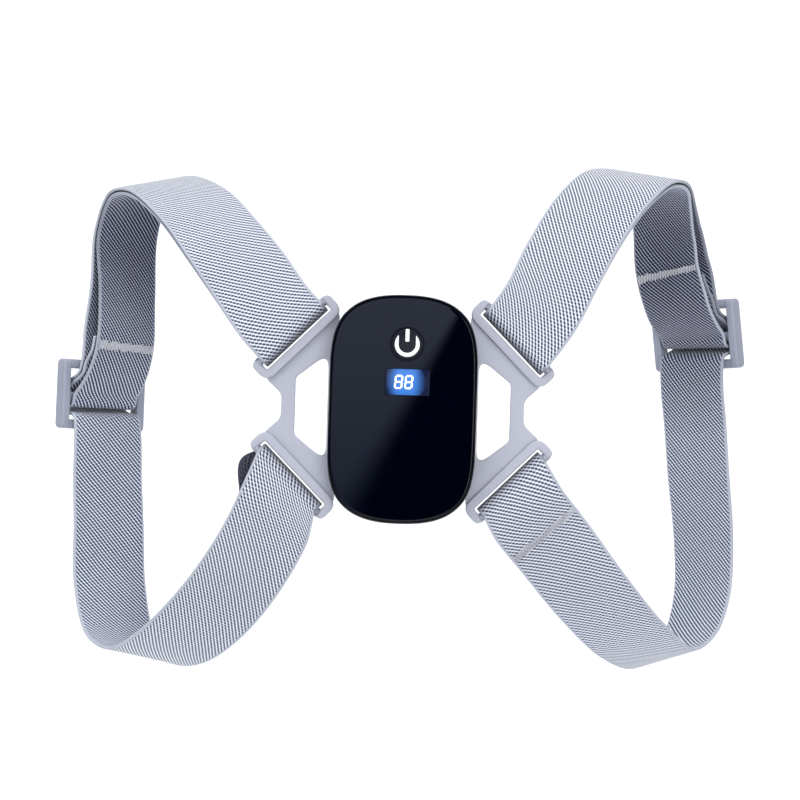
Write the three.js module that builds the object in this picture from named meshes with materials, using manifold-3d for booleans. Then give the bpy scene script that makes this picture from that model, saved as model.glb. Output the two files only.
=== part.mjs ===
// A smart posture corrector, in the form that it takes on a wearer's upper back: an X-shaped
// back frame with a glossy electronics housing, and on each side one elastic strap that loops
// over the shoulder, down the front and back under the arm, through a three-bar slider.
// Millimetres. +X is the wearer's right, +Y points from the housing into the wearer, +Z is up.
// The origin is the middle of the flat rear face that sits on the wearer's spine.
import * as THREE from "three";
import { mergeVertices } from "three/addons/utils/BufferGeometryUtils.js";
import Module from "manifold-3d";

const wasm = await Module();
wasm.setup();

// Strap
const STRAP_WIDTH = 38;
const STRAP_THICKNESS = 1.5;
const LAYER_GAP = 0.5;
const BAR_GAP = 0.8;
const SEWN_TAB = 29;
const STITCH_LENGTH = 3;
const STITCH_INSET = 1.5;
const TAB_GAP = 0.9;
const TAB_BULGE = 6;

// Housing
const HOUSING_WIDTH = 67;
const HOUSING_HEIGHT = 103;
const HOUSING_DEPTH = 15;
const SIDE_POWER = 2.45;
const END_POWER = 4.8;
const SEAM_GAP = 0.3;

// Power button, set down from the housing's top, and display, set down from the button. Both sit a
// little to the right of the housing's middle.
const BUTTON_RADIUS = 7;
const BUTTON_CLEARANCE = 0.3;
const BUTTON_RIM = 0.6;
const BUTTON_THICKNESS = 2.4;
const BUTTON_TRAVEL = 0.8;
const BUTTON_DROP = 22.3;
const BUTTON_ASIDE = 1.2;
const DISPLAY_WIDTH = 19.7;
const DISPLAY_TALL = 11.6;
const DISPLAY_THICKNESS = 1.2;
const DISPLAY_DROP = 16.9;
const DISPLAY_ASIDE = 1.9;
const DISPLAY_GAP = 0.3;

// Back frame, measured outwards from the housing's sides and inwards from its top and bottom
const PAD_THICKNESS = 5;
const PAD_INSET = 1.2;
const WING_THICKNESS = 3;
const WING_SETBACK = 2;
const WAIST_OUT = 21.5;
const WAIST_HALF = 4;
const WINDOW_WIDTH = 15.2;
const WINDOW_DROP = 27;
const WINDOW_TAPER = 11.5;
const WINDOW_ROUND = 3.5;
const LUG_OUT = 13.7;
const LUG_DROP = 22;
const LUG_ANGLE = 45;
const LUG_RIM = 3;
const LUG_EAR = 4;
const LUG_RAISE = 1;
const LUG_BAR = 4;
const SLOT_OPENING = 3.8;
const SLOT_CLEARANCE = 0.9;

// Three-bar slider
const SLIDER_RAIL = 4.5;
const SLIDER_RAIL_DEPTH = 6.5;
const SLIDER_BAR_DEPTH = 3.5;
const SLIDER_BAR_TALL = 4.5;
const SLIDER_MIDDLE_TALL = 5;
const SLIDER_PITCH = 14.5;
const SLIDER_DROP = 1.5;
const SLIDER_LAYERS = 2.8;
const SLIDER_CLEARANCE = 1.2;

// Size of each shoulder loop, from the lug bars outwards, upwards and forwards
const LOOP_REACH = 100;
const LOOP_RISE = 115;
const LOOP_DEPTH = 84;

// Each row is one section of a loop, from the upper lug to the lower one. out, up and back are shares
// of the loop's reach, rise and depth. lift and toe turn the strap's width, in degrees: lift raises
// its inner edge, and toe moves that edge forward, away from the outer edge.
const LEFT_ROUTE = [
  { out: 0.08, up: 0.365, back: -0.045, lift: 41, toe: 3 },
  { out: 0.2, up: 0.505, back: 0.02, lift: 37, toe: 12 },
  { out: 0.33, up: 0.645, back: 0.13, lift: 31, toe: 24 },
  { out: 0.48, up: 0.79, back: 0.31, lift: 25, toe: 35 },
  { out: 0.66, up: 0.885, back: 0.58, lift: 14, toe: 45 },
  { out: 0.78, up: 0.86, back: 0.81, lift: 8, toe: 46 },
  { out: 0.85, up: 0.7, back: 0.95, lift: 4, toe: 46 },
  { out: 0.875, up: 0.46, back: 0.99, lift: 1, toe: 50 },
  { out: 0.91, up: 0.24, back: 1.0, lift: 0, toe: 49 },
  { out: 0.95, up: 0.015, back: 1.03, lift: 0, toe: 43, slider: true },
  { out: 0.915, up: -0.2, back: 0.98, lift: 0, toe: 37 },
  { out: 0.885, up: -0.5, back: 0.95, lift: -1, toe: 34 },
  { out: 0.865, up: -0.77, back: 0.89, lift: -3, toe: 31 },
  { out: 0.8, up: -0.97, back: 0.76, lift: -6, toe: 32 },
  { out: 0.68, up: -1.04, back: 0.55, lift: -12, toe: 34 },
  { out: 0.52, up: -0.985, back: 0.32, lift: -22, toe: 28 },
  { out: 0.34, up: -0.84, back: 0.14, lift: -31, toe: 18 },
  { out: 0.19, up: -0.665, back: 0.02, lift: -35, toe: 8 },
  { out: 0.075, up: -0.48, back: -0.045, lift: -39, toe: 2 },
];
const RIGHT_ROUTE = [
  { out: 0.1, up: 0.42, back: -0.045, lift: 39, toe: 3 },
  { out: 0.2, up: 0.6, back: 0.01, lift: 37, toe: 11 },
  { out: 0.31, up: 0.77, back: 0.1, lift: 33, toe: 22 },
  { out: 0.43, up: 0.9, back: 0.25, lift: 26, toe: 36 },
  { out: 0.565, up: 0.975, back: 0.52, lift: 11, toe: 46 },
  { out: 0.675, up: 0.96, back: 0.77, lift: 6, toe: 47 },
  { out: 0.745, up: 0.815, back: 0.93, lift: 7, toe: 44 },
  { out: 0.79, up: 0.66, back: 0.98, lift: 5, toe: 40 },
  { out: 0.85, up: 0.51, back: 1.0, lift: 0, toe: 40 },
  { out: 0.905, up: 0.35, back: 1.04, lift: -3, toe: 42, slider: true },
  { out: 0.9, up: 0.09, back: 1.02, lift: -1, toe: 44 },
  { out: 0.925, up: -0.22, back: 1.01, lift: -2, toe: 45 },
  { out: 0.96, up: -0.52, back: 0.98, lift: -4, toe: 48 },
  { out: 0.955, up: -0.74, back: 0.91, lift: -6, toe: 51 },
  { out: 0.89, up: -0.9, back: 0.76, lift: -9, toe: 53 },
  { out: 0.75, up: -0.985, back: 0.52, lift: -18, toe: 48 },
  { out: 0.58, up: -0.9, back: 0.28, lift: -29, toe: 36 },
  { out: 0.38, up: -0.72, back: 0.1, lift: -33, toe: 22 },
  { out: 0.2, up: -0.53, back: 0.01, lift: -36, toe: 9 },
  { out: 0.075, up: -0.4, back: -0.045, lift: -40, toe: 2 },
];

// How far each layer stands off the loop's middle, in strap pitches, by its height above the slider in
// slider pitches: the layer that runs on through the slider, and the one sewn to it.
const LAYER_SPREAD = [
  { above: 11, through: 0.55, sewn: -0.55 },
  { above: 8, through: 0.55, sewn: -0.55 },
  { above: 5.2, through: 0.35, sewn: -1.2 },
  { above: 3.4, through: 0.2, sewn: -3.1 },
  { above: 2, through: -0.3, sewn: -5.2 },
];

const FULL_TURN = 2 * Math.PI;
const OUTLINE_POINTS = 72;
const ROUND_SIDES = 48;
const ARC_STEPS = 6;
const ROUTE_SAMPLES = 900;
const SECTION_STEP = 5;
const BAR_SKEW = 40;
const CUT_OVERSIZE = 1;

// Sizes that follow from those above
const HOUSING_SIDE = HOUSING_WIDTH / 2;
const HOUSING_TOP = HOUSING_HEIGHT / 2;
const BUTTON_HEIGHT = HOUSING_TOP - BUTTON_DROP;
const DISPLAY_HEIGHT = BUTTON_HEIGHT - DISPLAY_DROP;
const WAIST_REACH = HOUSING_SIDE + WAIST_OUT;
const WINDOW_REACH = HOUSING_SIDE + WINDOW_WIDTH;
const WINDOW_TOP = HOUSING_TOP - WINDOW_DROP;
const WINDOW_HALF = WINDOW_TOP - WINDOW_TAPER;
const LUG_REACH = HOUSING_SIDE + LUG_OUT;
const LUG_RISE = HOUSING_TOP - LUG_DROP;
const LAYER_PITCH = STRAP_THICKNESS + LAYER_GAP;
const TAB_PITCH = STRAP_THICKNESS + TAB_GAP;
const SLOT_LENGTH = STRAP_WIDTH + 2 * SLOT_CLEARANCE;
const PAD_FRONT = -PAD_THICKNESS;
const HOUSING_BACK = PAD_FRONT - SEAM_GAP;
const HOUSING_FRONT = HOUSING_BACK - HOUSING_DEPTH;
const WING_FRONT = -(WING_SETBACK + WING_THICKNESS);
const LUG_FRONT = WING_FRONT - LUG_RAISE;
const BAR_DEPTH = (LUG_FRONT - WING_SETBACK) / 2;
const BAR_OUT = SLOT_OPENING + LUG_BAR / 2;
const LUG_WRAP = (LUG_BAR + STRAP_THICKNESS) / 2 + BAR_GAP;
const SLIDER_WRAP = (SLIDER_BAR_DEPTH + STRAP_THICKNESS) / 2 + BAR_GAP;

const vec = (x, y, z) => new THREE.Vector3(x, y, z);
const radians = THREE.MathUtils.degToRad;

function solidOf(geometry) {
  const bare = geometry.index ? geometry.toNonIndexed() : geometry.clone();
  bare.deleteAttribute("normal");
  bare.deleteAttribute("uv");
  const merged = mergeVertices(bare, 1e-4);
  return new wasm.Manifold(
    new wasm.Mesh({
      numProp: 3,
      vertProperties: merged.attributes.position.array,
      triVerts: new Uint32Array(merged.index.array),
    }),
  );
}

function geometryOf(solid) {
  const mesh = solid.getMesh();
  const geometry = new THREE.BufferGeometry();
  geometry.setAttribute("position", new THREE.BufferAttribute(mesh.vertProperties, 3));
  geometry.setIndex(new THREE.BufferAttribute(mesh.triVerts, 1));
  geometry.computeVertexNormals();
  return geometry;
}

function box(width, depth, height, centre) {
  return solidOf(new THREE.BoxGeometry(width, depth, height).translate(...centre));
}

// A closed skin over rings of equal length, with a fan over each end ring.
function loft(rings) {
  const count = rings[0].length;
  const points = rings.flat();
  const faces = [];
  for (let r = 0; r + 1 < rings.length; r++) {
    for (let i = 0; i < count; i++) {
      const a = r * count + i;
      const b = r * count + ((i + 1) % count);
      faces.push(a, b, a + count, b, b + count, a + count);
    }
  }
  const last = (rings.length - 1) * count;
  for (let i = 1; i + 1 < count; i++) {
    faces.push(0, i + 1, i, last, last + i, last + i + 1);
  }
  const geometry = new THREE.BufferGeometry().setFromPoints(points);
  geometry.setIndex(faces);
  const solid = solidOf(geometry);
  if (solid.volume() > 0) return solid;
  for (let i = 0; i < faces.length; i += 3) {
    [faces[i + 1], faces[i + 2]] = [faces[i + 2], faces[i + 1]];
  }
  geometry.setIndex(faces);
  return solidOf(geometry);
}

// The housing's outline, a superellipse taken in by inset all round, at one depth.
function housingRing(inset, depth) {
  const power = (value, exponent) => Math.sign(value) * Math.abs(value) ** (2 / exponent);
  return Array.from({ length: OUTLINE_POINTS }, (_, i) => {
    const turn = (FULL_TURN * i) / OUTLINE_POINTS;
    return vec(
      (HOUSING_SIDE - inset) * power(Math.cos(turn), SIDE_POWER),
      depth,
      (HOUSING_TOP - inset) * power(Math.sin(turn), END_POWER),
    );
  });
}

// A round plug along Y at the button's place, with its front face at depth front.
function plug(radius, front, thickness) {
  const cylinder = new THREE.CylinderGeometry(radius, radius, thickness, ROUND_SIDES);
  return solidOf(cylinder.translate(BUTTON_ASIDE, front + thickness / 2, BUTTON_HEIGHT));
}

function buttonPocket() {
  const depth = BUTTON_THICKNESS + BUTTON_TRAVEL + BUTTON_CLEARANCE;
  const radius = BUTTON_RADIUS + BUTTON_CLEARANCE;
  const bore = plug(radius, HOUSING_FRONT - CUT_OVERSIZE, depth + CUT_OVERSIZE);
  const rim = new THREE.CylinderGeometry(radius, radius + 2 * BUTTON_RIM, 2 * BUTTON_RIM, ROUND_SIDES);
  return bore.add(solidOf(rim.translate(BUTTON_ASIDE, HOUSING_FRONT, BUTTON_HEIGHT)));
}

function displayPocket() {
  const depth = DISPLAY_THICKNESS + DISPLAY_GAP;
  return box(
    DISPLAY_WIDTH + 2 * DISPLAY_GAP,
    2 * depth,
    DISPLAY_TALL + 2 * DISPLAY_GAP,
    [DISPLAY_ASIDE, HOUSING_FRONT, DISPLAY_HEIGHT],
  );
}

function housing() {
  const shape = [
    { inset: 2, share: 0 },
    { inset: 0.5, share: 0.12 },
    { inset: 0, share: 0.3 },
    { inset: 0, share: 0.52 },
    { inset: 0.7, share: 0.74 },
    { inset: 2.2, share: 0.89 },
    { inset: 4.4, share: 0.97 },
    { inset: 7.2, share: 1 },
  ];
  const rings = shape.map((row) => housingRing(row.inset, HOUSING_BACK - row.share * HOUSING_DEPTH));
  return loft(rings).subtract(buttonPocket()).subtract(displayPocket());
}

function powerButton() {
  return plug(BUTTON_RADIUS, HOUSING_FRONT, BUTTON_THICKNESS);
}

function displayWindow() {
  return box(DISPLAY_WIDTH, DISPLAY_THICKNESS, DISPLAY_TALL, [
    DISPLAY_ASIDE,
    HOUSING_FRONT + DISPLAY_THICKNESS / 2,
    DISPLAY_HEIGHT,
  ]);
}

// A flat plate in the XZ plane between two depths, from a shape drawn in X and Z.
function plate(shape, front, back) {
  const geometry = new THREE.ExtrudeGeometry(shape, {
    depth: back - front,
    bevelEnabled: false,
    curveSegments: ARC_STEPS,
  });
  return solidOf(geometry.rotateX(Math.PI / 2).translate(0, back, 0));
}

// A shape through the corners, in order, with each corner rounded by its radius.
function roundedShape(Kind, corners) {
  const shape = new Kind();
  corners.forEach(([x, z, radius], i) => {
    const here = new THREE.Vector2(x, z);
    const before = new THREE.Vector2(...corners.at(i - 1).slice(0, 2)).sub(here).normalize();
    const after = new THREE.Vector2(...corners[(i + 1) % corners.length].slice(0, 2)).sub(here).normalize();
    const reach = radius / Math.tan(Math.acos(before.dot(after)) / 2);
    const from = here.clone().addScaledVector(before, reach);
    const to = here.clone().addScaledVector(after, reach);
    if (i === 0) shape.moveTo(from.x, from.y);
    else shape.lineTo(from.x, from.y);
    shape.quadraticCurveTo(x, z, to.x, to.y);
  });
  shape.closePath();
  return shape;
}

// One wing, on the side of the given sign: a waisted plate between its two lugs, with a window.
function wing(side) {
  const slope = radians(LUG_ANGLE);
  const half = SLOT_LENGTH / 2 + LUG_EAR;
  const middle = [LUG_REACH - (LUG_RIM / 2) * Math.sin(slope), LUG_RISE - (LUG_RIM / 2) * Math.cos(slope)];
  const inner = [middle[0] - half * Math.cos(slope), middle[1] + half * Math.sin(slope)];
  const outer = [middle[0] + half * Math.cos(slope), middle[1] - half * Math.sin(slope)];
  const upper = [
    [WAIST_REACH, WAIST_HALF, LUG_EAR],
    [...outer, LUG_EAR / 2],
    [...inner, 1],
  ];
  const lower = upper.map(([x, z, radius]) => [x, -z, radius]).reverse();
  const edge = HOUSING_SIDE + PAD_INSET / 2;
  const rim = roundedShape(THREE.Shape, [...upper, ...lower]);
  rim.holes.push(
    roundedShape(THREE.Path, [
      [edge, WINDOW_TOP, WINDOW_ROUND],
      [WINDOW_REACH, WINDOW_HALF, WINDOW_ROUND],
      [WINDOW_REACH, -WINDOW_HALF, WINDOW_ROUND],
      [edge, -WINDOW_TOP, WINDOW_ROUND],
    ]),
  );
  const made = plate(rim, WING_FRONT, -WING_SETBACK);
  return side > 0 ? made : made.mirror([1, 0, 0]);
}

// One lug: a rim with a slot, closed on its outer side by the round bar that the strap wraps.
// It is drawn with its slot along X and its outer side up, then turned into its corner.
function lug(side, end) {
  const half = SLOT_LENGTH / 2 + LUG_EAR;
  const rim = roundedShape(THREE.Shape, [
    [-half, -LUG_RIM, LUG_EAR],
    [half, -LUG_RIM, LUG_EAR],
    [half, BAR_OUT + LUG_BAR / 2, LUG_EAR / 2],
    [-half, BAR_OUT + LUG_BAR / 2, LUG_EAR / 2],
  ]);
  const through = SLOT_OPENING + LUG_BAR + CUT_OVERSIZE;
  const slot = box(SLOT_LENGTH, 2 * -LUG_FRONT, through, [0, BAR_DEPTH, through / 2]);
  const bar = new THREE.CylinderGeometry(LUG_BAR / 2, LUG_BAR / 2, SLOT_LENGTH + LUG_EAR, ROUND_SIDES / 2);
  const barSolid = solidOf(bar.rotateZ(Math.PI / 2).translate(0, BAR_DEPTH, BAR_OUT));
  const made = plate(rim, LUG_FRONT, -WING_SETBACK).subtract(slot).add(barSolid);
  const turned = made.rotate([0, LUG_ANGLE, 0]).translate([LUG_REACH, 0, LUG_RISE]);
  const sided = side > 0 ? turned : turned.mirror([1, 0, 0]);
  return end > 0 ? sided : sided.mirror([0, 0, 1]);
}

function backFrame() {
  let made = loft([housingRing(PAD_INSET, PAD_FRONT), housingRing(PAD_INSET, 0)]);
  for (const side of [-1, 1]) {
    made = made.add(wing(side));
    for (const end of [-1, 1]) made = made.add(lug(side, end));
  }
  return made;
}

// The middle of a lug's bar, and the way out of the lug, square to its bar.
function lugFrame(side, end) {
  const slope = radians(LUG_ANGLE);
  const away = vec(side * Math.sin(slope), 0, end * Math.cos(slope));
  const along = vec(-side * Math.cos(slope), 0, end * Math.sin(slope));
  const place = vec(side * LUG_REACH, BAR_DEPTH, end * LUG_RISE).addScaledVector(away, BAR_OUT);
  return { place, away, along };
}

function tangent(sections, i) {
  const before = sections[Math.max(i - 1, 0)].place;
  const after = sections[Math.min(i + 1, sections.length - 1)].place;
  return after.clone().sub(before).normalize();
}

function squared(direction, along) {
  return direction.clone().addScaledVector(along, -direction.dot(along)).normalize();
}

// A loop's middle surface: sections from the upper lug's bar to the lower one's, each with its place,
// the direction of the strap's width from its outer edge to its inner one, and the outward normal.
// The width lies along each bar, however the strap leaves it, and square to the strap further on.
function loopSections(side, route) {
  const upper = lugFrame(side, 1);
  const lower = lugFrame(side, -1);
  const places = [
    upper.place,
    ...route.map((row) =>
      vec(upper.place.x + side * LOOP_REACH * row.out, LOOP_DEPTH * row.back, LOOP_RISE * row.up),
    ),
    lower.place,
  ];
  const widths = [
    upper.along,
    ...route.map((row) => {
      const level = Math.cos(radians(row.lift));
      const toe = radians(row.toe);
      return vec(-side * level * Math.cos(toe), level * Math.sin(toe), Math.sin(radians(row.lift)));
    }),
    lower.along,
  ];
  const placeCurve = new THREE.CatmullRomCurve3(places);
  const widthCurve = new THREE.CatmullRomCurve3(widths);
  const sections = Array.from({ length: ROUTE_SAMPLES + 1 }, (_, i) => ({
    place: placeCurve.getPoint(i / ROUTE_SAMPLES),
    wide: widthCurve.getPoint(i / ROUTE_SAMPLES).normalize(),
  }));
  sections.forEach((section, i) => {
    const before = sections[i - 1];
    section.at = before ? before.at + before.place.distanceTo(section.place) : 0;
  });
  const { at: length } = sections.at(-1);
  sections.forEach((section, i) => {
    section.along = tangent(sections, i);
    const fromBar = Math.min(section.at, length - section.at);
    const square = THREE.MathUtils.smoothstep(fromBar, 0, BAR_SKEW);
    section.wide.lerp(squared(section.wide, section.along), square).normalize();
    section.out = section.wide.clone().cross(section.along).multiplyScalar(-side).normalize();
  });
  const row = 1 + route.findIndex(({ slider }) => slider);
  const slider = sections[Math.round((row / (places.length - 1)) * ROUTE_SAMPLES)];
  return { sections, slider, length, upper, lower };
}

// The point a given way along the loop and off its middle surface. Past either end it runs on square
// to the bar there.
function onLoop(loop, at, off) {
  const { sections } = loop;
  let low = 0;
  let high = sections.length - 1;
  while (high - low > 1) {
    const middle = (low + high) >> 1;
    if (sections[middle].at <= at) low = middle;
    else high = middle;
  }
  const a = sections[low];
  const b = sections[high];
  const share = THREE.MathUtils.clamp((at - a.at) / (b.at - a.at), 0, 1);
  const place = a.place.clone().lerp(b.place, share);
  place.addScaledVector(loop.upper.away, Math.min(at, 0));
  place.addScaledVector(loop.lower.away, Math.min(loop.length - at, 0));
  const out = a.out.clone().lerp(b.out, share).normalize();
  return {
    place: place.addScaledVector(out, off),
    wide: a.wide.clone().lerp(b.wide, share).normalize(),
  };
}

// Half a turn around a bar at a given way along the loop, from one side of it to the other.
function wrap(at, reach, radius, from) {
  return Array.from({ length: ARC_STEPS + 1 }, (_, i) => {
    const turn = (Math.PI * i) / ARC_STEPS;
    return [at + reach * Math.sin(turn), from * radius * Math.cos(turn)];
  });
}

// The strap's own line along the loop, as pairs of way along and stand-off: from the end sewn under
// itself at the lower lug, up through the slider, around the upper lug's bar, and back to the end
// sewn around the slider's middle bar.
function strapLine(loop) {
  const { length } = loop;
  const centre = loop.slider.at;
  const top = centre - SLIDER_PITCH;
  const middle = centre + SLIDER_DROP;
  const bottom = centre + SLIDER_PITCH;
  const flat = SLIDER_BAR_TALL / 2 + LAYER_GAP;
  const turn = SLIDER_MIDDLE_TALL / 2 + BAR_GAP + STRAP_THICKNESS / 2;
  const behind = SLIDER_WRAP + SLIDER_LAYERS;
  const tabEnd = length - SEWN_TAB;
  const run = LAYER_SPREAD.map(({ above, through, sewn }) => ({
    at: centre - above * SLIDER_PITCH,
    through: through * LAYER_PITCH,
    sewn: sewn * LAYER_PITCH,
  }));
  const last = run.at(-1).sewn;
  return [
    [tabEnd, -TAB_PITCH],
    [tabEnd + STITCH_LENGTH * 2, -TAB_PITCH],
    [length - SEWN_TAB * 0.6, -TAB_BULGE],
    [length - SEWN_TAB * 0.4, -TAB_BULGE],
    [length - LUG_WRAP * 0.8, -LUG_WRAP],
    ...wrap(length, LUG_WRAP, LUG_WRAP, -1),
    [length - LUG_WRAP * 0.8, LUG_WRAP],
    [length - SEWN_TAB / 2, LUG_WRAP * 0.6],
    [tabEnd + STITCH_LENGTH, 0],
    [tabEnd - SEWN_TAB, 0],
    [(length + bottom) / 2, 0],
    [bottom + SLIDER_PITCH * 2, 0],
    [bottom + SLIDER_PITCH, -SLIDER_WRAP * 0.5],
    [bottom + flat, -SLIDER_WRAP],
    [bottom - flat * 1.2, -SLIDER_WRAP],
    [middle + turn, behind],
    [middle - turn * 0.8, behind],
    [top + flat * 1.2, -SLIDER_WRAP],
    [top - flat, -SLIDER_WRAP],
    ...run.map((row) => [row.at, row.through]).reverse(),
    [LUG_WRAP * 5, LUG_WRAP * 0.6],
    [LUG_WRAP * 0.8, LUG_WRAP],
    ...wrap(0, -LUG_WRAP, LUG_WRAP, 1),
    [LUG_WRAP * 0.8, -LUG_WRAP],
    [LUG_WRAP * 5, -LUG_WRAP * 0.6],
    ...run.map((row) => [row.at, row.sewn]),
    [top, last * 0.98],
    [centre - flat * 2, last * 0.72],
    [centre - flat * 0.3, last * 0.42],
    ...wrap(middle, turn, SLIDER_WRAP, -1),
    [middle - turn * 0.8, SLIDER_WRAP * 0.92],
    [top + flat * 1.2, -SLIDER_WRAP - SLIDER_LAYERS],
    [top - flat, -SLIDER_WRAP - SLIDER_LAYERS],
    [centre - SEWN_TAB + STITCH_LENGTH * 2, last + TAB_PITCH],
    [centre - SEWN_TAB, last + TAB_PITCH],
  ];
}

// A ribbon of the strap along a line of pairs, as one closed solid.
function ribbon(loop, line, width, thickness) {
  const curve = new THREE.CatmullRomCurve3(line.map(([at, off]) => vec(at, off, 0)));
  const pairs = [];
  for (let i = 0; i + 1 < line.length; i++) {
    const steps = Math.max(2, Math.ceil(Math.abs(line[i + 1][0] - line[i][0]) / SECTION_STEP));
    for (let k = 0; k < steps; k++) pairs.push(curve.getPoint((i + k / steps) / (line.length - 1)));
  }
  pairs.push(curve.getPoint(1));
  const points = pairs.map((pair) => onLoop(loop, pair.x, pair.y));
  const rings = points.map((point, i) => {
    const before = points[Math.max(i - 1, 0)].place;
    const after = points[Math.min(i + 1, points.length - 1)].place;
    const thick = point.wide.clone().cross(after.clone().sub(before)).normalize();
    const corner = (across, through) =>
      point.place
        .clone()
        .addScaledVector(point.wide, (across * width) / 2)
        .addScaledVector(thick, (through * thickness) / 2);
    return [corner(-1, -1), corner(1, -1), corner(1, 1), corner(-1, 1)];
  });
  return loft(rings);
}

// The sewn ends are fused to the run next to them along their stitching.
function strap(loop) {
  const whole = ribbon(loop, strapLine(loop), STRAP_WIDTH, STRAP_THICKNESS);
  const stitching = (at, off) => {
    const line = [[at - STITCH_LENGTH / 2, off], [at, off], [at + STITCH_LENGTH / 2, off]];
    return ribbon(loop, line, STRAP_WIDTH - 2 * STITCH_INSET, TAB_PITCH);
  };
  const fold = LAYER_SPREAD.at(-1).sewn * LAYER_PITCH;
  return whole
    .add(stitching(loop.length - SEWN_TAB + STITCH_LENGTH, -TAB_PITCH / 2))
    .add(stitching(loop.slider.at - SEWN_TAB + STITCH_LENGTH, fold + TAB_PITCH / 2));
}

// A three-bar slider, drawn with its bars along X and its thickness along Y, then set on its loop.
function sliderGeometry(loop) {
  const tall = 2 * SLIDER_PITCH + SLIDER_BAR_TALL;
  const slot = STRAP_WIDTH + 2 * SLIDER_CLEARANCE;
  const railX = slot / 2 + SLIDER_RAIL / 2;
  const round = SLIDER_RAIL_DEPTH / 2 - LAYER_GAP;
  const profile = roundedShape(THREE.Shape, [
    [-SLIDER_RAIL_DEPTH / 2, -tall / 2, round],
    [SLIDER_RAIL_DEPTH / 2, -tall / 2, round],
    [SLIDER_RAIL_DEPTH / 2, tall / 2, round],
    [-SLIDER_RAIL_DEPTH / 2, tall / 2, round],
  ]);
  const rail = new THREE.ExtrudeGeometry(profile, {
    depth: SLIDER_RAIL,
    bevelEnabled: false,
    curveSegments: ARC_STEPS,
  });
  const railSolid = solidOf(rail.translate(0, 0, -SLIDER_RAIL / 2).rotateY(Math.PI / 2).rotateX(Math.PI / 2));
  const barLength = slot + SLIDER_RAIL;
  const radius = SLIDER_BAR_DEPTH / 2;
  const bar = new THREE.CylinderGeometry(radius, radius, barLength, ROUND_SIDES / 2).rotateZ(Math.PI / 2);
  bar.scale(1, 1, SLIDER_MIDDLE_TALL / SLIDER_BAR_DEPTH).translate(0, 0, -SLIDER_DROP);
  let made = solidOf(bar);
  for (const end of [-1, 1]) {
    const centre = [0, 0, end * SLIDER_PITCH];
    made = made.add(box(barLength, SLIDER_BAR_DEPTH, SLIDER_BAR_TALL, centre));
    made = made.add(railSolid.translate([end * railX, 0, 0]));
  }
  return geometryOf(made);
}

const materials = {
  shell: new THREE.MeshStandardMaterial({ color: 0x05070d, roughness: 0.12, metalness: 0 }),
  button: new THREE.MeshStandardMaterial({ color: 0x0a0b10, roughness: 0.25, metalness: 0 }),
  screen: new THREE.MeshStandardMaterial({ color: 0x2a6fe0, roughness: 0.2, metalness: 0 }),
  frame: new THREE.MeshStandardMaterial({ color: 0xb9bfd0, roughness: 0.5, metalness: 0 }),
  webbing: new THREE.MeshStandardMaterial({ color: 0xa4abbe, roughness: 0.9, metalness: 0 }),
};

function part(name, geometry, material) {
  const mesh = new THREE.Mesh(geometry, material);
  mesh.name = name;
  return mesh;
}

const corrector = new THREE.Group();
corrector.add(
  part("back_frame", geometryOf(backFrame()), materials.frame),
  part("housing", geometryOf(housing()), materials.shell),
  part("power_button", geometryOf(powerButton()), materials.button),
  part("display_window", geometryOf(displayWindow()), materials.screen),
);
for (const [name, side, route] of [
  ["left", -1, LEFT_ROUTE],
  ["right", 1, RIGHT_ROUTE],
]) {
  const loop = loopSections(side, route);
  corrector.add(part(`strap_${name}`, geometryOf(strap(loop)), materials.webbing));
  const slider = part(`slider_${name}`, sliderGeometry(loop), materials.frame);
  const { place, wide, along, out } = loop.slider;
  const across = wide.clone().multiplyScalar(-side);
  slider.quaternion.setFromRotationMatrix(new THREE.Matrix4().makeBasis(across, out, along.clone().negate()));
  slider.position.copy(place);
  corrector.add(slider);
}

export default corrector;
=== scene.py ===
# Looks of the posture corrector: woven straps, moulded frame, glossy housing with a lit display.
import math
import bmesh
import bpy
import numpy as np
from mathutils import Matrix, Vector


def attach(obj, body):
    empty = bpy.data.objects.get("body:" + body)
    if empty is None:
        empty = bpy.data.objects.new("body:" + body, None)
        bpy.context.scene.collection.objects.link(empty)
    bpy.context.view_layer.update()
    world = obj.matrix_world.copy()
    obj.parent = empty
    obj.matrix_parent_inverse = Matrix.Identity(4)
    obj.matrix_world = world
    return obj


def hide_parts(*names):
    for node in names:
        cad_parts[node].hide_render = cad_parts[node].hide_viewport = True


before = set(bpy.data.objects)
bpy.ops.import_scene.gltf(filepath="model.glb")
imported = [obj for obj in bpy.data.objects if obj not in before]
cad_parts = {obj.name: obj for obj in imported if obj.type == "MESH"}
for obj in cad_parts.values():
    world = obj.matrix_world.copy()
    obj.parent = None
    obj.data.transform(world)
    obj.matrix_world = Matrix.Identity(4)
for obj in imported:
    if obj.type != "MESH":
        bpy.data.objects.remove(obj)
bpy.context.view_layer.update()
MM = 0.001

# Sizes of the part, in millimetres, as in its source
STRAP_WIDTH = 38
STRAP_THICKNESS = 1.5
LAYER_GAP = 0.5
BAR_GAP = 0.8
SEWN_TAB = 29
STITCH_LENGTH = 3
TAB_GAP = 0.9
TAB_BULGE = 6
HOUSING_WIDTH = 67
HOUSING_HEIGHT = 103
HOUSING_DEPTH = 15
SIDE_POWER = 2.45
END_POWER = 4.8
SEAM_GAP = 0.3
BUTTON_RADIUS = 7
BUTTON_THICKNESS = 2.4
BUTTON_DROP = 22.3
BUTTON_ASIDE = 1.2
DISPLAY_WIDTH = 19.7
DISPLAY_TALL = 11.6
DISPLAY_THICKNESS = 1.2
DISPLAY_DROP = 16.9
DISPLAY_ASIDE = 1.9
PAD_THICKNESS = 5
PAD_INSET = 1.2
WING_THICKNESS = 3
WING_SETBACK = 2
WAIST_OUT = 21.5
WAIST_HALF = 4
WINDOW_WIDTH = 15.2
WINDOW_DROP = 27
WINDOW_TAPER = 11.5
LUG_OUT = 13.7
LUG_DROP = 22
LUG_ANGLE = 45
LUG_EAR = 4
LUG_RAISE = 1
LUG_BAR = 4
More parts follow.
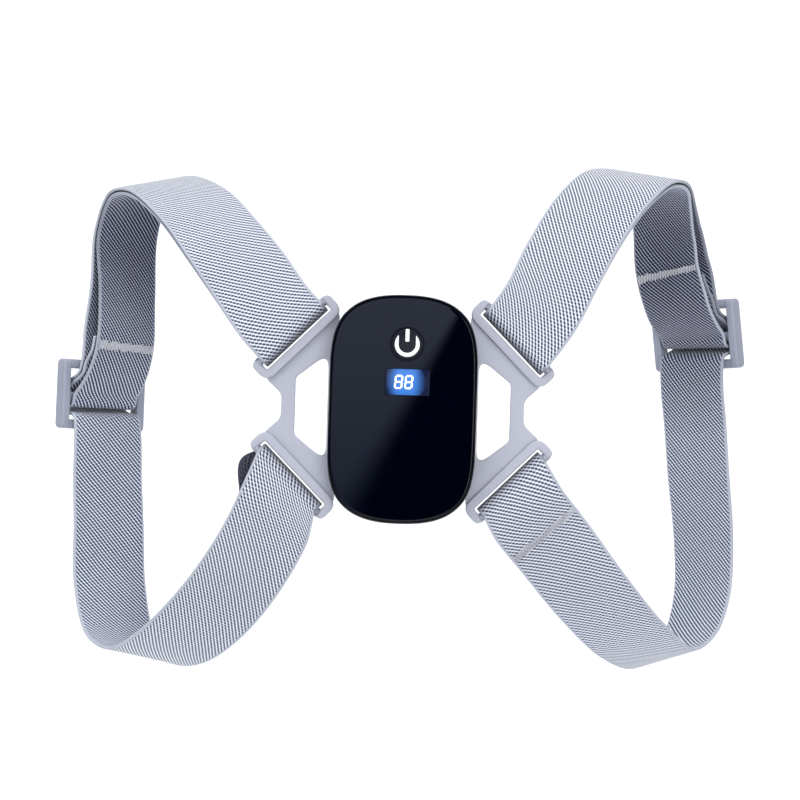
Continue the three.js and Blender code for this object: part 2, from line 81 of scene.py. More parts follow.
SLOT_OPENING = 3.8
SLOT_CLEARANCE = 0.9
SLIDER_RAIL = 4.5
SLIDER_RAIL_DEPTH = 6.5
SLIDER_BAR_DEPTH = 3.5
SLIDER_BAR_TALL = 4.5
SLIDER_MIDDLE_TALL = 5
SLIDER_PITCH = 14.5
SLIDER_DROP = 1.5
SLIDER_LAYERS = 2.8
SLIDER_CLEARANCE = 1.2
LOOP_REACH = 100
LOOP_RISE = 115
LOOP_DEPTH = 84
BAR_SKEW = 40

# Sizes that follow from those above
HOUSING_SIDE = HOUSING_WIDTH / 2
HOUSING_TOP = HOUSING_HEIGHT / 2
BUTTON_HEIGHT = HOUSING_TOP - BUTTON_DROP
DISPLAY_HEIGHT = BUTTON_HEIGHT - DISPLAY_DROP
WAIST_REACH = HOUSING_SIDE + WAIST_OUT
WINDOW_REACH = HOUSING_SIDE + WINDOW_WIDTH
WINDOW_TOP = HOUSING_TOP - WINDOW_DROP
WINDOW_HALF = WINDOW_TOP - WINDOW_TAPER
LUG_REACH = HOUSING_SIDE + LUG_OUT
LUG_RISE = HOUSING_TOP - LUG_DROP
LAYER_PITCH = STRAP_THICKNESS + LAYER_GAP
TAB_PITCH = STRAP_THICKNESS + TAB_GAP
SLOT_LENGTH = STRAP_WIDTH + 2 * SLOT_CLEARANCE
PAD_FRONT = -PAD_THICKNESS
HOUSING_BACK = PAD_FRONT - SEAM_GAP
HOUSING_FRONT = HOUSING_BACK - HOUSING_DEPTH
WING_FRONT = -(WING_SETBACK + WING_THICKNESS)
LUG_FRONT = WING_FRONT - LUG_RAISE
BAR_DEPTH = (LUG_FRONT - WING_SETBACK) / 2
BAR_OUT = SLOT_OPENING + LUG_BAR / 2
LUG_WRAP = (LUG_BAR + STRAP_THICKNESS) / 2 + BAR_GAP
SLIDER_WRAP = (SLIDER_BAR_DEPTH + STRAP_THICKNESS) / 2 + BAR_GAP

# Sections of each loop: out, up, back, lift, toe, as in the part's source
LEFT_ROUTE = [
    (0.08, 0.365, -0.045, 41, 3),
    (0.2, 0.505, 0.02, 37, 12),
    (0.33, 0.645, 0.13, 31, 24),
    (0.48, 0.79, 0.31, 25, 35),
    (0.66, 0.885, 0.58, 14, 45),
    (0.78, 0.86, 0.81, 8, 46),
    (0.85, 0.7, 0.95, 4, 46),
    (0.875, 0.46, 0.99, 1, 50),
    (0.91, 0.24, 1.0, 0, 49),
    (0.95, 0.015, 1.03, 0, 43),
    (0.915, -0.2, 0.98, 0, 37),
    (0.885, -0.5, 0.95, -1, 34),
    (0.865, -0.77, 0.89, -3, 31),
    (0.8, -0.97, 0.76, -6, 32),
    (0.68, -1.04, 0.55, -12, 34),
    (0.52, -0.985, 0.32, -22, 28),
    (0.34, -0.84, 0.14, -31, 18),
    (0.19, -0.665, 0.02, -35, 8),
    (0.075, -0.48, -0.045, -39, 2),
]
RIGHT_ROUTE = [
    (0.1, 0.42, -0.045, 39, 3),
    (0.2, 0.6, 0.01, 37, 11),
    (0.31, 0.77, 0.1, 33, 22),
    (0.43, 0.9, 0.25, 26, 36),
    (0.565, 0.975, 0.52, 11, 46),
    (0.675, 0.96, 0.77, 6, 47),
    (0.745, 0.815, 0.93, 7, 44),
    (0.79, 0.66, 0.98, 5, 40),
    (0.85, 0.51, 1.0, 0, 40),
    (0.905, 0.35, 1.04, -3, 42),
    (0.9, 0.09, 1.02, -1, 44),
    (0.925, -0.22, 1.01, -2, 45),
    (0.96, -0.52, 0.98, -4, 48),
    (0.955, -0.74, 0.91, -6, 51),
    (0.89, -0.9, 0.76, -9, 53),
    (0.75, -0.985, 0.52, -18, 48),
    (0.58, -0.9, 0.28, -29, 36),
    (0.38, -0.72, 0.1, -33, 22),
    (0.2, -0.53, 0.01, -36, 9),
    (0.075, -0.4, -0.045, -40, 2),
]
SLIDER_ROW = 9
LAYER_SPREAD = [(11, 0.55, -0.55), (8, 0.55, -0.55), (5.2, 0.35, -1.2), (3.4, 0.2, -3.1), (2, -0.3, -5.2)]
ROUTE_SAMPLES = 900
LINE_SAMPLES = 6000
ARC_STEPS = 6


# Curves through points
def through(points, shares):
    """Centripetal Catmull-Rom curve through the points, at shares from 0 to 1."""
    points = np.asarray(points, float)
    count = len(points)
    ends = np.vstack([2 * points[0] - points[1], points, 2 * points[-1] - points[-2]])
    place = np.clip(np.asarray(shares, float), 0, 1) * (count - 1)
    index = np.minimum(place.astype(int), count - 2)
    t = (place - index)[:, None]
    p0, p1, p2, p3 = (ends[index + k] for k in range(4))

    def span(a, b):
        return np.sum((a - b) ** 2, axis=1)[:, None] ** 0.25

    d0, d1, d2 = span(p0, p1), span(p1, p2), span(p2, p3)
    d1[d1 < 1e-4] = 1
    d0 = np.where(d0 < 1e-4, d1, d0)
    d2 = np.where(d2 < 1e-4, d1, d2)
    t1 = ((p1 - p0) / d0 - (p2 - p0) / (d0 + d1) + (p2 - p1) / d1) * d1
    t2 = ((p2 - p1) / d1 - (p3 - p1) / (d1 + d2) + (p3 - p2) / d2) * d1
    c2 = 3 * (p2 - p1) - 2 * t1 - t2
    c3 = 2 * (p1 - p2) + t1 + t2
    return p1 + t1 * t + c2 * t**2 + c3 * t**3


def unit(vectors):
    return vectors / np.linalg.norm(vectors, axis=-1, keepdims=True)


def read_at(at, marks, values):
    """Rows of three values, read at places along the marks."""
    return np.stack([np.interp(at, marks, values[:, k]) for k in range(3)], axis=1)


def lug_frame(side, end):
    """Middle of a lug's bar, the way out of the lug, and the way along its bar."""
    slope = math.radians(LUG_ANGLE)
    away = np.array([side * math.sin(slope), 0, end * math.cos(slope)])
    along = np.array([-side * math.cos(slope), 0, end * math.sin(slope)])
    place = np.array([side * LUG_REACH, BAR_DEPTH, end * LUG_RISE]) + away * BAR_OUT
    return place, away, along


class Loop:
    """The middle surface of one strap's loop, from the upper lug's bar to the lower one's."""

    def __init__(self, side, route):
        self.side = side
        upper, self.upper_away, upper_along = lug_frame(side, 1)
        lower, self.lower_away, lower_along = lug_frame(side, -1)
        places = [upper]
        widths = [upper_along]
        for out, up, back, lift, toe in route:
            places.append([upper[0] + side * LOOP_REACH * out, LOOP_DEPTH * back, LOOP_RISE * up])
            tilt, turn = math.radians(lift), math.radians(toe)
            level = math.cos(tilt)
            widths.append([-side * level * math.cos(turn), level * math.sin(turn), math.sin(tilt)])
        places.append(lower)
        widths.append(lower_along)
        shares = np.linspace(0, 1, ROUTE_SAMPLES + 1)
        self.place = through(places, shares)
        wide = unit(through(widths, shares))
        steps = np.linalg.norm(np.diff(self.place, axis=0), axis=1)
        self.at = np.concatenate([[0], np.cumsum(steps)])
        self.length = self.at[-1]
        along = np.empty_like(self.place)
        along[1:-1] = self.place[2:] - self.place[:-2]
        along[0] = self.place[1] - self.place[0]
        along[-1] = self.place[-1] - self.place[-2]
        self.along = unit(along)
        share = np.clip(np.minimum(self.at, self.length - self.at) / BAR_SKEW, 0, 1)
        share = (share**2 * (3 - 2 * share))[:, None]
        square = unit(wide - np.sum(wide * self.along, axis=1)[:, None] * self.along)
        self.wide = unit(wide * (1 - share) + square * share)
        self.out = unit(np.cross(self.wide, self.along) * -side)
        index = round((SLIDER_ROW + 1) / (len(places) - 1) * ROUTE_SAMPLES)
        self.slider = {
            name: getattr(self, name)[index] for name in ("place", "wide", "along", "out", "at")
        }

    def on(self, at, off):
        """Places and width directions at ways along the loop and off its middle surface."""
        at, off = np.asarray(at, float), np.asarray(off, float)
        place = read_at(at, self.at, self.place) + read_at(at, self.at, self.out) * off[:, None]
        place += self.upper_away * np.minimum(at, 0)[:, None]
        place += self.lower_away * np.minimum(self.length - at, 0)[:, None]
        return place, unit(read_at(at, self.at, self.wide))


def wrap(at, reach, radius, start):
    """A half turn round a bar, as pairs of way along the loop and stand-off."""
    turns = [math.pi * i / ARC_STEPS for i in range(ARC_STEPS + 1)]
    return [(at + reach * math.sin(turn), start * radius * math.cos(turn)) for turn in turns]


def strap_line(loop):
    """The strap's own line, as pairs of way along the loop and stand-off."""
    length = loop.length
    centre = loop.slider["at"]
    top, middle, bottom = centre - SLIDER_PITCH, centre + SLIDER_DROP, centre + SLIDER_PITCH
    flat = SLIDER_BAR_TALL / 2 + LAYER_GAP
    turn = SLIDER_MIDDLE_TALL / 2 + BAR_GAP + STRAP_THICKNESS / 2
    behind = SLIDER_WRAP + SLIDER_LAYERS
    tab_end = length - SEWN_TAB
    run = [
        (centre - above * SLIDER_PITCH, outer * LAYER_PITCH, sewn * LAYER_PITCH)
        for above, outer, sewn in LAYER_SPREAD
    ]
    last = run[-1][2]
    return [
        (tab_end, -TAB_PITCH),
        (tab_end + STITCH_LENGTH * 2, -TAB_PITCH),
        (length - SEWN_TAB * 0.6, -TAB_BULGE),
        (length - SEWN_TAB * 0.4, -TAB_BULGE),
        (length - LUG_WRAP * 0.8, -LUG_WRAP),
        *wrap(length, LUG_WRAP, LUG_WRAP, -1),
        (length - LUG_WRAP * 0.8, LUG_WRAP),
        (length - SEWN_TAB / 2, LUG_WRAP * 0.6),
        (tab_end + STITCH_LENGTH, 0),
        (tab_end - SEWN_TAB, 0),
        ((length + bottom) / 2, 0),
        (bottom + SLIDER_PITCH * 2, 0),
        (bottom + SLIDER_PITCH, -SLIDER_WRAP * 0.5),
        (bottom + flat, -SLIDER_WRAP),
        (bottom - flat * 1.2, -SLIDER_WRAP),
        (middle + turn, behind),
        (middle - turn * 0.8, behind),
        (top + flat * 1.2, -SLIDER_WRAP),
        (top - flat, -SLIDER_WRAP),
        *[(at, outer) for at, outer, _ in reversed(run)],
        (LUG_WRAP * 5, LUG_WRAP * 0.6),
        (LUG_WRAP * 0.8, LUG_WRAP),
        *wrap(0, -LUG_WRAP, LUG_WRAP, 1),
        (LUG_WRAP * 0.8, -LUG_WRAP),
        (LUG_WRAP * 5, -LUG_WRAP * 0.6),
        *[(at, sewn) for at, _, sewn in run],
        (top, last * 0.98),
        (centre - flat * 2, last * 0.72),
        (centre - flat * 0.3, last * 0.42),
        *wrap(middle, turn, SLIDER_WRAP, -1),
        (middle - turn * 0.8, SLIDER_WRAP * 0.92),
        (top + flat * 1.2, -SLIDER_WRAP - SLIDER_LAYERS),
        (top - flat, -SLIDER_WRAP - SLIDER_LAYERS),
        (centre - SEWN_TAB + STITCH_LENGTH * 2, last + TAB_PITCH),
        (centre - SEWN_TAB, last + TAB_PITCH),
    ]


def fine_line(loop):
    """The strap's line in small steps."""
    return through([(at, off, 0) for at, off in strap_line(loop)], np.linspace(0, 1, LINE_SAMPLES))


# Meshes
def placed(name, data):
    thing = bpy.data.objects.new(name, data)
    bpy.context.scene.collection.objects.link(thing)
    return thing


def linked(name, mesh, material):
    """A smooth piece of one material, put into the scene."""
    mesh.materials.clear()
    mesh.materials.append(material)
    mesh.polygons.foreach_set("use_smooth", [True] * len(mesh.polygons))
    mesh.update()
    return placed(name, mesh)


def made(name, verts, faces, material):
    mesh = bpy.data.meshes.new(name)
    mesh.from_pydata([tuple(v) for v in np.asarray(verts) * MM], [], faces)
    return linked(name, mesh, material)


def ring_faces(rows, ring):
    """Faces of a closed row of rings: the sides row by row, then both ends."""
    faces = []
    for r in range(rows - 1):
        for i in range(ring):
            j = (i + 1) % ring
            faces.append((r * ring + i, r * ring + j, (r + 1) * ring + j, (r + 1) * ring + i))
    faces.append(tuple(range(ring - 1, -1, -1)))
    faces.append(tuple(range((rows - 1) * ring, rows * ring)))
    return faces


def shaped(name, shape, material):
    """A piece from a bmesh, which is then let go."""
    mesh = bpy.data.meshes.new(name)
    shape.to_mesh(mesh)
    shape.free()
    return linked(name, mesh, material)


def outward(mesh, weld=0):
    """Turns a closed mesh's faces so that they all look out, once points closer than weld are one."""
    shape = bmesh.new()
    shape.from_mesh(mesh)
    if weld:
        bmesh.ops.remove_doubles(shape, verts=shape.verts, dist=weld)
    bmesh.ops.recalc_face_normals(shape, faces=shape.faces)
    shape.to_mesh(mesh)
    shape.free()


# Length of one row of the fine webbing, its edges' radius, and its points across
STEP = 1.0
EDGE_ROUND = 0.75
FLAT_POINTS = 15


def strap_section():
    """The webbing's section, all round: across, through, and which face it is on."""
    half = STRAP_WIDTH / 2
    flat = np.linspace(-half + EDGE_ROUND, half - EDGE_ROUND, FLAT_POINTS)
    thick = STRAP_THICKNESS / 2
    ends = [math.radians(turn) for turn in (60, 30, 0, -30, -60)]
    section = [(across, thick, 0) for across in flat]
    section += [(half - EDGE_ROUND + EDGE_ROUND * math.cos(t), thick * math.sin(t), 0) for t in ends]
    section += [(across, -thick, 1) for across in flat[::-1]]
    section += [(-half + EDGE_ROUND - EDGE_ROUND * math.cos(t), -thick * math.sin(t), 1) for t in ends]
    return section


# The sewn end's middle and reach where it peeks out beside the lower left lug
TAB_PEEK_AT = 21
TAB_PEEK_REACH = 10

# Sharpest bend that is still open strap, per mm, and how far out from the middle the lugs reach
SLOT_BEND = 0.12
SLOT_FARTHEST = 80

# Where painted shade starts on the loops' inner side, and over how much it deepens: back, then up
SHADE_BACK, SHADE_BACK_OVER = 45, 30
SHADE_LOW, SHADE_LOW_OVER = -10, 75

# Millimetres of webbing in one unit of its UV map
UV_LENGTH = 100


def strap_piece(name, loop, material, peek):
    """One fine ribbon along the strap's line, with its own way along and across as UV."""
    rough = fine_line(loop)
    place, wide = loop.on(rough[:, 0], rough[:, 1])
    run = np.concatenate([[0], np.cumsum(np.linalg.norm(np.diff(place, axis=0), axis=1))])
    count = int(run[-1] / STEP)
    ways = np.linspace(0, run[-1], count + 1)
    place = read_at(ways, run, place)
    wide = unit(read_at(ways, run, wide))
    hump = np.clip(1 - ((ways - TAB_PEEK_AT) / TAB_PEEK_REACH) ** 2, 0, 1) ** 2
    place += wide * (np.sign(-wide[:, :1]) * peek * hump[:, None])
    direction = np.gradient(place, axis=0)
    thick = unit(np.cross(wide, direction))
    at = np.interp(ways, run, rough[:, 0])
    away = read_at(at, loop.at, loop.out)
    faces_out = np.clip(np.sum(thick * away, axis=1) * 3, -1, 1) * 0.5 + 0.5
    section = strap_section()
    verts = np.concatenate(
        [place + wide * across + thick * through_ for across, through_, _ in section], axis=1
    ).reshape(-1, 3)
    ring = len(section)
    piece = made(name, verts, ring_faces(count + 1, ring), material)
    weave = piece.data.uv_layers.new(name="Weave")
    sides = piece.data.uv_layers.new(name="Side")
    values = []
    side_values = []
    painted_shade = piece.data.attributes.new("PaintedShade", "FLOAT", "POINT")
    # Painted shade per point, stored for the material: deeper towards the back and top of each loop
    back = np.clip((place[:, 1] - SHADE_BACK) / SHADE_BACK_OVER, 0, 1)
    back *= np.clip((place[:, 2] - SHADE_LOW) / SHADE_LOW_OVER, 0, 1)
    # Painted shade round a lug's bar, where the cloth turns into the slot and no light gets in
    bend = np.linalg.norm(np.gradient(unit(direction), axis=0), axis=1) / STEP
    at_lug = (bend > SLOT_BEND) & (np.abs(place[:, 0]) < SLOT_FARTHEST)
    into_slot = np.clip(1.6 - 1.5 * np.abs(thick[:, 1]), 0, 1)
    back = np.where(at_lug & (into_slot > 0), 1 + into_slot, back)
    # Full painted shade on the sewn end where it peeks out beside the lug
    if peek:
        back = np.where(hump > 0, 2, back)
    painted_shade.data.foreach_set("value", np.repeat(back, ring))
    for r in range(count):
        for i in range(ring):
            j = (i + 1) % ring
            face = section[i][2]
            for row, k in ((r, i), (r, j), (r + 1, j), (r + 1, i)):
                across = section[k][0]
                edge = (STRAP_WIDTH / 2 - abs(across)) / STRAP_WIDTH
                values += [(across if face else -across) / UV_LENGTH + 0.5, ways[row] / UV_LENGTH]
                side_values += [edge, faces_out[row] if face else 1 - faces_out[row]]
    for row in (0, count):
        for across, _, _ in section:
            values += [across / UV_LENGTH + 0.5, ways[row] / UV_LENGTH]
            side_values += [0, 0]
    weave.data.foreach_set("uv", values)
    sides.data.foreach_set("uv", side_values)
    outward(piece.data)
    return piece, run[-1]


def tube(points, radius, sides=6):
    """Verts and faces of a closed tube along points, in millimetres."""
    points = np.asarray(points, float)
    direction = unit(np.gradient(points, axis=0))
    guide = np.array([0.0, 0.0, 1.0])
    first = unit(np.cross(direction, guide))
    second = np.cross(direction, first)
    turns = np.arange(sides) * 2 * math.pi / sides
    verts = np.concatenate(
        [points + radius * (first * math.cos(t) + second * math.sin(t)) for t in turns], axis=1
    ).reshape(-1, 3)
    return verts, ring_faces(len(points), sides)


# Rows of thread: stitches in a row, room beside them, half their length and how much it varies,
# the thread's radius and how far its middle lies off the cloth, low and high
STITCH_COUNT = 44
STITCH_MARGIN = 1.2
STITCH_REACH = 1.55
STITCH_VARIES = 0.14
THREAD_RADIUS = 0.3
THREAD_LOW, THREAD_HIGH = 0.28 - 0.1, 0.28 + 0.12
THREAD_BENDS = (
    (-0.3, 0.8, THREAD_LOW),
    (-0.12, 1, THREAD_HIGH),
    (0.12, 1, THREAD_HIGH),
    (0.3, 0.8, THREAD_LOW),
)


def stitches(name, loop, at, off, face, tilt, material):
    """A row of zigzag thread across the strap, lying on one face of its sewn end."""
    half = STRAP_WIDTH / 2 - STITCH_MARGIN
    rng = np.random.default_rng(7 + int(at))
    seat = strap_surface(loop, at, off)
    points = []
    for i in range(STITCH_COUNT + 1):
        across = -half + 2 * half * i / STITCH_COUNT
        reach = (STITCH_REACH if i % 2 else -STITCH_REACH) * (1 + STITCH_VARIES * rng.standard_normal())
        lean = tilt * across / half
        for aside, share, rise in THREAD_BENDS:
            points.append((across + aside, at + lean + reach * share, seat + face * rise))
    points = np.array(points)
    place, wide = loop.on(points[:, 1], points[:, 2])
    verts, faces = tube(place + wide * points[:, :1], THREAD_RADIUS)
    piece = made(name, verts, faces, material)
    outward(piece.data)
    return piece


def strap_surface(loop, at, off):
    """The stand-off of the strap's face that is nearest to off, at a way along the loop."""
    rough = fine_line(loop)
    near = rough[np.abs(rough[:, 0] - at) < 0.3][:, 1]
    faces = np.concatenate([near - STRAP_THICKNESS / 2, near + STRAP_THICKNESS / 2])
    return faces[np.argmin(np.abs(faces - off))]


def rounded_box(name, size, centre, radius, material, matrix=None):
    shape = bmesh.new()
    bmesh.ops.create_cube(shape, size=1)
    bmesh.ops.scale(shape, vec=Vector(size), verts=shape.verts)
    bmesh.ops.bevel(shape, geom=list(shape.edges), offset=radius, segments=4, profile=0.5, affect="EDGES")
    bmesh.ops.translate(shape, vec=Vector(centre), verts=shape.verts)
    if matrix is not None:
        bmesh.ops.transform(shape, matrix=matrix, verts=shape.verts)
    bmesh.ops.scale(shape, vec=(MM, MM, MM), verts=shape.verts)
    return shaped(name, shape, material)


def joined(name, pieces):
    """One piece from several."""
    whole = bmesh.new()
    for piece in pieces:
        whole.from_mesh(piece.data)
    material = pieces[0].data.materials[0]
    for piece in pieces:
        bpy.data.objects.remove(piece)
    return shaped(name, whole, material)


def rounded_outline(corners, steps=8):
    """Points of a closed outline through corners (x, z, radius), each rounded."""
    points = []
    count = len(corners)
    for i, (x, z, radius) in enumerate(corners):
        here = np.array([x, z], float)
        before = unit(np.array(corners[i - 1][:2], float) - here)
        after = unit(np.array(corners[(i + 1) % count][:2], float) - here)
        reach = radius / math.tan(math.acos(float(before @ after)) / 2)
        a, b = here + before * reach, here + after * reach
        for k in range(steps + 1):
            t = k / steps
            points.append((1 - t) ** 2 * a + 2 * t * (1 - t) * here + t**2 * b)
    return np.array(points)


CORNERS = ((-1, -1), (1, -1), (1, 1), (-1, 1))


def rectangle(half_x, half_z, radius, steps=8):
    return rounded_outline([(half_x * x, half_z * z, radius) for x, z in CORNERS], steps)


# Points of a plate that are nearer than this, in metres, are one
WELD = 1e-6


def plate(name, outlines, front, back, round_, material, matrix=None):
    """A flat plate in the XZ plane with rounded edges, from closed outlines, the first its rim."""
    curve = bpy.data.curves.new(name, "CURVE")
    curve.dimensions = "2D"
    curve.fill_mode = "BOTH"
    curve.bevel_mode = "ROUND"
    curve.bevel_resolution = 4
    curve.bevel_depth = round_ * MM
    curve.offset = -round_ * MM
    curve.extrude = (abs(front - back) / 2 - round_) * MM
    for outline in outlines:
        spline = curve.splines.new("POLY")
        spline.points.add(len(outline) - 1)
        for point, (x, z) in zip(spline.points, outline):
            point.co = (x * MM, z * MM, 0, 1)
        spline.use_cyclic_u = True
    flat = placed(name + "_outline", curve)
    bpy.context.view_layer.update()
    mesh = bpy.data.meshes.new_from_object(flat.evaluated_get(bpy.context.evaluated_depsgraph_get()))
    bpy.data.objects.remove(flat)
    stand = Matrix.Translation((0, (front + back) / 2 * MM, 0)) @ Matrix.Rotation(math.pi / 2, 4, "X")
    mesh.transform(stand)
    if matrix is not None:
        mesh.transform(matrix)
        if matrix.determinant() < 0:
            mesh.flip_normals()
    outward(mesh, WELD)
    return linked(name, mesh, material)


# Materials
class Surface:
    """A material, with short hand for the nodes that lead to its shader."""

    def __init__(self, name):
        self.material = bpy.data.materials.new(name)
        self.material.use_nodes = True
        self.tree = self.material.node_tree

    def finished(self, values):
        self.fill(self.tree.nodes["Principled BSDF"], values)
        return self.material

    def new(self, kind):
        return self.tree.nodes.new("ShaderNode" + kind)

    def fill(self, node, values):
        """Sets a node's sockets by name. A constant stays on the socket itself."""
        for name, value in values.items():
            self.put(node.inputs[name], value)

    def put(self, socket, value):
        if isinstance(value, bpy.types.NodeSocket):
            self.tree.links.new(value, socket)
        else:
            socket.default_value = value

    def math(self, operation, *values, clamp=False):
        node = self.new("Math")
        node.operation = operation
        node.use_clamp = clamp
        for socket, value in zip(node.inputs, values):
            self.put(socket, value)
        return node.outputs[0]

    def times(self, a, b, clamp=False):
        return self.math("MULTIPLY", a, b, clamp=clamp)

    def plus(self, a, b, clamp=False):
        return self.math("ADD", a, b, clamp=clamp)

    def minus(self, a, b):
        return self.math("SUBTRACT", a, b)

    def ramp(self, value, low, high):
        """0 below low and 1 above high, smooth between; the other way round when high is below low."""
        node = self.new("MapRange")
        node.interpolation_type = "SMOOTHSTEP"
        low_first = low <= high
        self.put(node.inputs[0], value)
        node.inputs[1].default_value = min(low, high)
        node.inputs[2].default_value = max(low, high)
        node.inputs[3].default_value = not low_first
        node.inputs[4].default_value = low_first
        return node.outputs[0]

    def mix(self, share, a, b):
        node = self.new("Mix")
        node.data_type = "RGBA"
        self.put(node.inputs[0], share)
        for place, colour in ((6, a), (7, b)):
            self.put(node.inputs[place], (*colour, 1) if isinstance(colour, tuple) else colour)
        return node.outputs[2]

    def split(self, vector):
        node = self.new("SeparateXYZ")
        self.put(node.inputs[0], vector)
        return node.outputs

    def uv(self, name):
        node = self.new("UVMap")
        node.uv_map = name
        return self.split(node.outputs[0])[:2]

    def noise(self, scale, detail):
        node = self.new("TexNoise")
        self.fill(node, {"Scale": scale, "Detail": detail})
        self.put(node.inputs["Vector"], self.new("TexCoord").outputs["Object"])
        return node.outputs[0]

    def bump(self, height, strength, distance):
        node = self.new("Bump")
        self.fill(node, {"Strength": strength, "Distance": distance, "Height": height})
        return node.outputs[0]

    def open_share(self, reach):
        """How open a spot is to the room around it, from 0 in a deep corner to 1."""
        node = self.new("AmbientOcclusion")
        node.samples = 8
        node.inputs["Distance"].default_value = reach
        return node.outputs["AO"]

    def axes(self, kind):
        """The three parts of a texture coordinate, such as Object or Normal."""
        return self.split(self.new("TexCoord").outputs[kind])


# Weave: rows of short floats that run at a slant to the strap
WEAVE_ANGLE = 42.5
ROW_PITCH = 1.5
FLOAT_PITCH = 1.6
ROW_OFFSET = 0.5
SELVEDGE = 1.1


def webbing_material():
    n = Surface("woven_webbing")
    u, v = n.uv("Weave")
    edge, face = n.uv("Side")
    across = n.times(n.minus(u, 0.5), UV_LENGTH)
    along = n.times(v, UV_LENGTH)
    wander = n.times(n.minus(n.noise(180, 2), 0.5), 0.5)
    across = n.plus(across, wander)
    turn = math.radians(WEAVE_ANGLE)
    a = n.plus(n.times(along, math.cos(turn)), n.times(across, math.sin(turn)))
    b = n.minus(n.times(along, math.sin(turn)), n.times(across, math.cos(turn)))
    row = n.math("DIVIDE", b, ROW_PITCH)
    row_index = n.math("ROUND", row)
    step = n.plus(n.math("DIVIDE", a, FLOAT_PITCH), n.times(row_index, ROW_OFFSET))
    local_a = n.minus(n.math("FRACT", step), 0.5)
    local_b = n.plus(n.minus(row, row_index), n.times(local_a, 0.16))
    off_row = n.math("ABSOLUTE", local_b)
    off_mid = n.math("ABSOLUTE", local_a)
    # Dark floats between pale rows on the outer face, pale floats on a dark ground on the inner one
    dark_float = n.times(n.ramp(off_row, 0.34, 0.18), n.ramp(off_mid, 0.48, 0.37))
    pale_outer = n.minus(1.0, dark_float)
    is_inner = n.ramp(face, 0.4, 0.6)
    # Painted shade on cloth inside the loops and where it turns into a lug's slot: its pale yarn is drawn
    # thin and dim, its dark yarn nearly black
    shaded = n.new("Attribute")
    shaded.attribute_name = "PaintedShade"
    painted_tuck_shade = n.math("MAXIMUM", n.minus(shaded.outputs["Fac"], 1.0), 0.0)
    painted_shade = n.math("MAXIMUM", n.times(shaded.outputs["Fac"], is_inner), painted_tuck_shade, clamp=True)
    thinned = n.times(off_row, n.plus(1.0, n.times(painted_shade, 0.55)))
    pale_float = n.times(n.ramp(thinned, 0.28, 0.19), n.ramp(off_mid, 0.5, 0.42))
    pale = n.plus(n.times(pale_outer, n.minus(1.0, is_inner)), n.times(pale_float, is_inner))

    def by_selvedge(low, high):
        return n.ramp(edge, (SELVEDGE + low) / STRAP_WIDTH, (SELVEDGE + high) / STRAP_WIDTH)

    in_edge = by_selvedge(0.15, -0.15)
    groove_shade = n.times(by_selvedge(-0.3, 0.05), by_selvedge(0.6, 0.2))
    rib = n.math("ABSOLUTE", n.minus(n.math("FRACT", n.math("DIVIDE", along, 0.9)), 0.5))
    pale = n.math("MAXIMUM", pale, in_edge)
    fibre = n.noise(2600, 3)
    yarn_pale = n.mix(fibre, (0.5, 0.535, 0.63), (0.88, 0.91, 0.97))
    yarn_pale = n.mix(n.times(is_inner, 0.4), yarn_pale, (0.76, 0.83, 1))
    yarn_dark = n.mix(fibre, (0.012, 0.019, 0.05), (0.045, 0.058, 0.12))
    # Painted highlight: the pale yarn is brighter along the middle of each pale row on the outer face
    crest_highlight = n.times(n.ramp(off_row, 0.3, 0.5), n.minus(1.0, is_inner))
    yarn_pale = n.mix(n.times(crest_highlight, 0.5), yarn_pale, (0.93, 0.95, 0.98))
    worn = n.noise(45, 3)
    yarn_pale = n.mix(n.times(worn, 0.12), yarn_pale, (0.42, 0.45, 0.55))
    # Painted shade darkens both yarns
    yarn_pale = n.mix(n.times(painted_shade, 0.45), yarn_pale, (0.045, 0.055, 0.13))
    yarn_dark = n.mix(n.times(painted_shade, 0.85), yarn_dark, (0.003, 0.006, 0.028))
    colour = n.mix(pale, yarn_dark, yarn_pale)
    # Painted shade in the groove just inside each selvedge
    colour = n.mix(n.times(groove_shade, 0.35), colour, (0.22, 0.24, 0.31))
    edge_tone = n.mix(n.times(rib, 1.4), (0.3, 0.325, 0.4), (0.72, 0.75, 0.82))
    # Painted shade on the selvedge as well
    edge_tone = n.mix(n.times(painted_shade, 0.5), edge_tone, (0.05, 0.055, 0.09))
    colour = n.mix(in_edge, colour, edge_tone)
    # Painted shade, near black, where the cloth turns into a slot and on the sewn end's peek
    colour = n.mix(n.times(painted_tuck_shade, 0.85, clamp=True), colour, (0.014, 0.017, 0.035))
    # Painted shade in crevices, from how open each spot is
    crevice_shade = n.ramp(n.open_share(0.003), 0.7, 0.25)
    colour = n.mix(n.times(crevice_shade, 0.7), colour, (0.02, 0.023, 0.04))
    crown = n.minus(1.0, n.times(off_row, off_row))
    height = n.times(pale, crown)
    height = n.plus(height, n.times(fibre, 0.25))
    height = n.plus(height, n.times(n.times(rib, in_edge), 0.7))
    return n.finished({
        "Base Color": colour,
        "Roughness": n.plus(0.74, n.times(fibre, 0.2)),
        "Sheen Weight": 0.25,
        "Sheen Roughness": 0.5,
        "Specular IOR Level": 0.25,
        "Normal": n.bump(height, 0.55, 0.0002),
    })


def thread_material():
    n = Surface("sewing_thread")
    fibre = n.noise(3200, 2)
    return n.finished({
        "Base Color": n.mix(fibre, (0.4, 0.41, 0.46), (0.78, 0.78, 0.82)),
        "Roughness": n.plus(0.6, n.times(fibre, 0.25)),
        "Normal": n.bump(fibre, 0.5, 0.0001),
    })


def frame_material(name, low, high, deep):
    n = Surface(name)
    fine = n.noise(1900, 3)
    broad = n.noise(38, 2)
    colour = n.mix(broad, low, high)
    colour = n.mix(n.times(fine, 0.12), colour, (0.56, 0.59, 0.68))
    # Painted shade in crevices, towards the deep colour
    crevice_shade = n.ramp(n.open_share(0.0022), 0.72, 0.3)
    colour = n.mix(n.times(crevice_shade, 0.75), colour, deep)
    return n.finished({
        "Base Color": colour,
        "Roughness": n.plus(0.38, n.times(fine, 0.2)),
        "Specular IOR Level": 0.45,
        "Normal": n.bump(fine, 0.12, 0.00006),
    })


